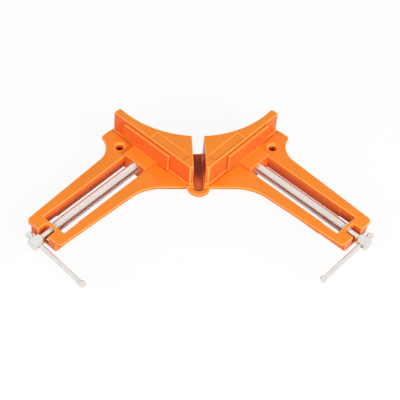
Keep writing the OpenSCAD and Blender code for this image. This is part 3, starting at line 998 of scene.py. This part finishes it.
def set_keeper_screws(side):
    """The pair of keeper screws of one jaw, in place."""
    node = f"{side}_keeper_screws"
    _, outward = screw_line(side)
    across = UP.cross(outward)
    corners = [vertex.co for vertex in frame["nodes"][node].data.vertices]
    low = Vector(min(corner[axis] for corner in corners) for axis in range(3))
    high = Vector(max(corner[axis] for corner in corners) for axis in range(3))
    middle = (low + high) / 2.0
    middle.z = low.z
    wide = [(corner - middle).dot(outward) for corner in corners]
    apart = [(corner - middle).dot(across) for corner in corners]
    radius = max(wide)
    shank = radius * SHANK_SHARE
    profile = (
        (0.0, 0.0, 0.0),
        (0.0, radius, 0.15 * MM),
        (HEAD_HEIGHT, radius, 0.0),
        (HEAD_HEIGHT, shank, 0.0),
        (high.z - low.z, shank, 0.2 * MM),
        (high.z - low.z, 0.0, 0.0),
    )
    screws = turned(f"{side}_keeper_pair", soften(profile), Vector(), UP, zinc, 40)
    cut_away(screws, (recess_bar(math.radians(45.0)), recess_bar(math.radians(135.0))))
    setter = screws.modifiers.new("row", "NODES")
    setter.node_group = screw_row
    setter[modifier_input(screw_row, "Spacing")] = 2.0 * (max(apart) - radius)
    setter[modifier_input(screw_row, "Count")] = 2
    setter[modifier_input(screw_row, "Metal")] = zinc
    bake_modifiers(screws)
    place = Matrix((across, -outward, UP)).transposed().to_4x4()
    place.translation = middle
    screws.data.transform(place)
    return screws


for side in SIDES:
    hand_over(set_keeper_screws(side), f"{side}_jaw", f"{side}_keeper_screws")

# %% [markdown]
# ## Small hardware
# Washers, rings, pins and keeper plates already have the right form as solids, so they stay,
# and only get their metal.

# %% Finish the small hardware
FINISHES = {
    "head_pin": steel,
    "retaining_ring": zinc,
    "thrust_washer": zinc,
    "jaw_keeper": zinc,
}
for side in SIDES:
    for part, metal in FINISHES.items():
        node = frame["nodes"][f"{side}_{part}"]
        node.data.materials.clear()
        node.data.materials.append(metal)
print("solids that keep their form:", len(FINISHES) * len(SIDES))

# %% [markdown]
# ## Floor and light
# The clamp lies on a plain white sweep. A wide key lamp at the front right and a weaker one at
# the front left light the fences and the arms, and two low lamps light the curved back. They
# stay out of reflections, so that only the white room shows in the gloss. The floor is
# mostly white to the lens, so it still takes a soft shadow, and the room is white to the lens
# and in reflections, while the light that it gives is weak.

# %% Lay the floor
GLOW_TO_LENS = 0.92
GLOW_IN_MIRRORS = 0.12


def white_floor():
    """A wide white floor that keeps a soft shadow."""
    material = bpy.data.materials.new("white_sweep")
    material.use_nodes = True
    tree = material.node_tree
    tree.nodes.clear()
    path = add_node(tree, "ShaderNodeLightPath").outputs
    seen = math_node(tree, "MAXIMUM", path["Is Camera Ray"], path["Is Transmission Ray"])
    mirrored = math_node(tree, "MULTIPLY", path["Is Glossy Ray"], GLOW_IN_MIRRORS)
    share = math_node(tree, "MULTIPLY_ADD", seen, GLOW_TO_LENS, mirrored)
    matt = add_node(tree, "ShaderNodeBsdfDiffuse")
    matt.inputs["Color"].default_value = (0.86, 0.86, 0.86, 1.0)
    glow = add_node(tree, "ShaderNodeEmission")
    mixed = add_node(tree, "ShaderNodeMixShader")
    tree.links.new(share, mixed.inputs[0])
    tree.links.new(matt.outputs[0], mixed.inputs[1])
    tree.links.new(glow.outputs[0], mixed.inputs[2])
    out = add_node(tree, "ShaderNodeOutputMaterial")
    tree.links.new(mixed.outputs[0], out.inputs["Surface"])
    half = 4.0
    mesh = bpy.data.meshes.new("floor")
    corners = [(-half, -half, 0.0), (half, -half, 0.0), (half, half, 0.0), (-half, half, 0.0)]
    mesh.from_pydata(corners, [], [(0, 1, 2, 3)])
    mesh.materials.append(material)
    floor = bpy.data.objects.new("floor", mesh)
    floor.location.z = cad_low.z - 0.05 * MM
    bpy.context.scene.collection.objects.link(floor)
    return floor


floor = white_floor()
print("floor at mm:", round(floor.location.z / MM, 2))

# %% Set the light
SKY_LIGHT = 0.24


def white_world():
    """A white surround for the lens and reflections, and a softer one for the light."""
    world = bpy.data.worlds.new("white_surround")
    world.use_nodes = True
    tree = world.node_tree
    ground = tree.nodes["Background"]
    path = add_node(tree, "ShaderNodeLightPath").outputs
    seen = math_node(tree, "MAXIMUM", path["Is Camera Ray"], path["Is Glossy Ray"])
    seen = math_node(tree, "MAXIMUM", seen, path["Is Transmission Ray"])
    strength = math_node(tree, "MULTIPLY_ADD", seen, 1.0 - SKY_LIGHT, SKY_LIGHT)
    ground.inputs["Color"].default_value = (1.0, 1.0, 1.0, 1.0)
    tree.links.new(strength, ground.inputs["Strength"])
    bpy.context.scene.world = world


def soft_lamp(name, place, size, power):
    """A square lamp that faces the clamp."""
    light = bpy.data.lights.new(name, "AREA")
    light.shape = "SQUARE"
    light.size = size
    light.energy = power
    lamp = bpy.data.objects.new(name, light)
    lamp.location = place
    lamp.visible_glossy = False
    aim = Vector((0.0, -0.03, 0.0)) - Vector(place)
    lamp.rotation_euler = aim.to_track_quat("-Z", "Y").to_euler()
    bpy.context.scene.collection.objects.link(lamp)
    return lamp


white_world()
LAMPS = (
    ("key_lamp", (0.72, -0.90, 0.58), 0.6, 16.8),
    ("fill_lamp", (-0.72, -0.90, 0.58), 0.6, 9.5),
    ("right_back_lamp", (0.95, 0.85, 0.26), 0.45, 6.0),
    ("left_back_lamp", (-0.95, 0.85, 0.26), 0.45, 6.5),
)
for lamp in LAMPS:
    soft_lamp(*lamp)
bpy.context.scene.view_settings.view_transform = "Standard"
print("lamps:", len(LAMPS))
